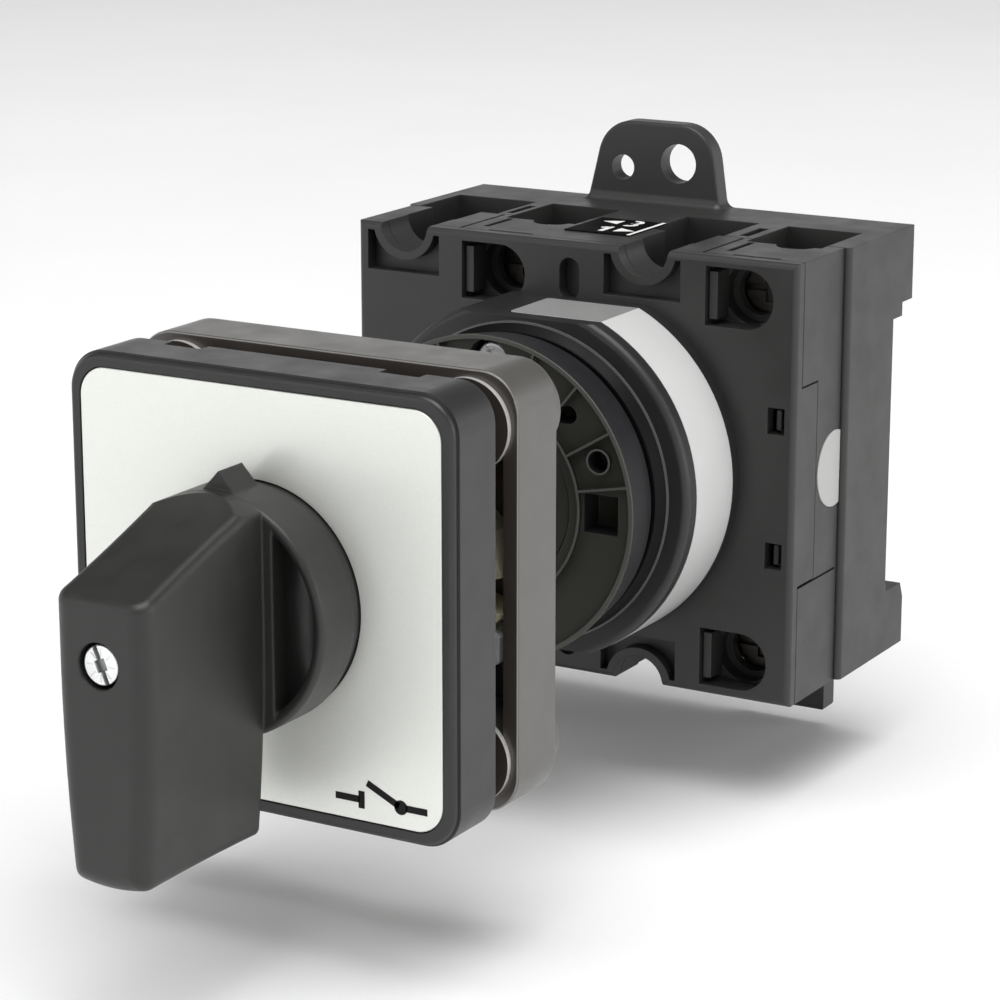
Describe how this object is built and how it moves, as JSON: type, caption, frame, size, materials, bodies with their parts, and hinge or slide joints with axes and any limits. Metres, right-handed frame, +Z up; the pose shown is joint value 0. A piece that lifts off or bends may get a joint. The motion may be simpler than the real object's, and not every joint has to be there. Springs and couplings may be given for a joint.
{
  "type": "rotary isolator switch",
  "caption": "Door-coupled rotary isolator: square front plate with a black thumb-grip knob, a square shaft, and a rail-mounted switching base with a ribbed collar.",
  "frame": {"origin": "on the switch axis, in the rear mounting plane of the base", "axes": "+X to the right and +Z up as seen from the knob, +Y along the switch axis to the rear; the knob faces -Y"},
  "size_m": [0.0618, 0.1281, 0.0743],
  "materials": {
    "black_plastic": "matt black moulding, fine texture",
    "knob_plastic": "black moulding with a soft sheen",
    "bezel_plastic": "black moulding with a soft sheen",
    "clamp_plastic": "warm grey-brown moulding",
    "silver_plate": "satin silver",
    "grey_band": "light grey, smooth",
    "rubber": "matt black rubber",
    "nylon": "pale yellow nylon",
    "white_plastic": "white moulding",
    "zinc": "bright zinc plating",
    "steel": "zinc plated, drawn or bent",
    "spring_steel": "bright spring wire",
    "rotor_plastic": "natural grey-cream moulding",
    "contact_brass": "brass with silver tips",
    "label": "printed black label",
    "latch_plastic": "matt black moulding"
  },
  "bodies": {
    "base": {"bearing_sleeve": "black_plastic", "collar": "black_plastic", "collar_cap": "black_plastic", "contact_cover": "black_plastic", "contact_housing": "black_plastic", "rear_housing": "black_plastic", "bezel_frame": "bezel_plastic", "clamp_frame": "clamp_plastic", "face_plate": "silver_plate", "collar_band": "grey_band", "side_badge": "grey_band", "door_seal": "rubber", "lock_cam": "nylon", "lock_pad": "white_plastic", "clamp_screws": "zinc", "cap_screws": "zinc", "housing_screws": "zinc", "terminal_screws": "zinc", "terminal_clamps": "steel", "detent_spring_left": "spring_steel", "detent_spring_right": "spring_steel", "contact_spring_left": "spring_steel", "contact_spring_right": "spring_steel", "latch_spring": "spring_steel", "fixed_contact_left_top": "contact_brass", "fixed_contact_left_bottom": "contact_brass", "fixed_contact_right_top": "contact_brass", "fixed_contact_right_bottom": "contact_brass", "terminal_label_top": "label", "terminal_label_bottom": "label"},
    "rotor": {"knob": "knob_plastic", "knob_screw": "zinc", "shaft": "steel", "drive_coupling": "rotor_plastic", "detent_wheel": "rotor_plastic", "cam_rotor": "rotor_plastic"},
    "contact_left": {"contact_bridge_left": "contact_brass", "contact_carrier_left": "rotor_plastic"},
    "contact_right": {"contact_bridge_right": "contact_brass", "contact_carrier_right": "rotor_plastic"},
    "detent_left": {"detent_plunger_left": "steel"},
    "detent_right": {"detent_plunger_right": "steel"},
    "latch": {"rail_latch": "latch_plastic"}
  },
  "joints": [
    {"name": "knob_turn", "type": "hinge", "parent": "base", "child": "rotor", "pos_m": [0, -0.06, 0], "axis": [0, 1, 0], "range_deg": [-90, 0]},
    {"name": "contact_left_slide", "type": "slide", "parent": "base", "child": "contact_left", "axis": [-1, 0, 0], "range_m": [0, 0.0022], "deforming": ["contact_spring_left"]},
    {"name": "contact_right_slide", "type": "slide", "parent": "base", "child": "contact_right", "axis": [1, 0, 0], "range_m": [0, 0.0022], "deforming": ["contact_spring_right"]},
    {"name": "detent_left_slide", "type": "slide", "parent": "base", "child": "detent_left", "axis": [-1, 0, 0], "range_m": [0, 0.0008], "stiffness_N_per_m": 500, "springref_m": -0.001, "deforming": ["detent_spring_left"]},
    {"name": "detent_right_slide", "type": "slide", "parent": "base", "child": "detent_right", "axis": [1, 0, 0], "range_m": [0, 0.0008], "stiffness_N_per_m": 500, "springref_m": -0.001, "deforming": ["detent_spring_right"]},
    {"name": "latch_slide", "type": "slide", "parent": "base", "child": "latch", "axis": [0, 0, -1], "range_m": [0, 0.0025], "stiffness_N_per_m": 800, "springref_m": -0.001, "deforming": ["latch_spring"]}
  ],
  "couplings": [
    {"joint": "contact_left_slide", "follows": "knob_turn", "m_per_rad": -0.0014},
    {"joint": "contact_right_slide", "follows": "knob_turn", "m_per_rad": -0.0014}
  ]
}
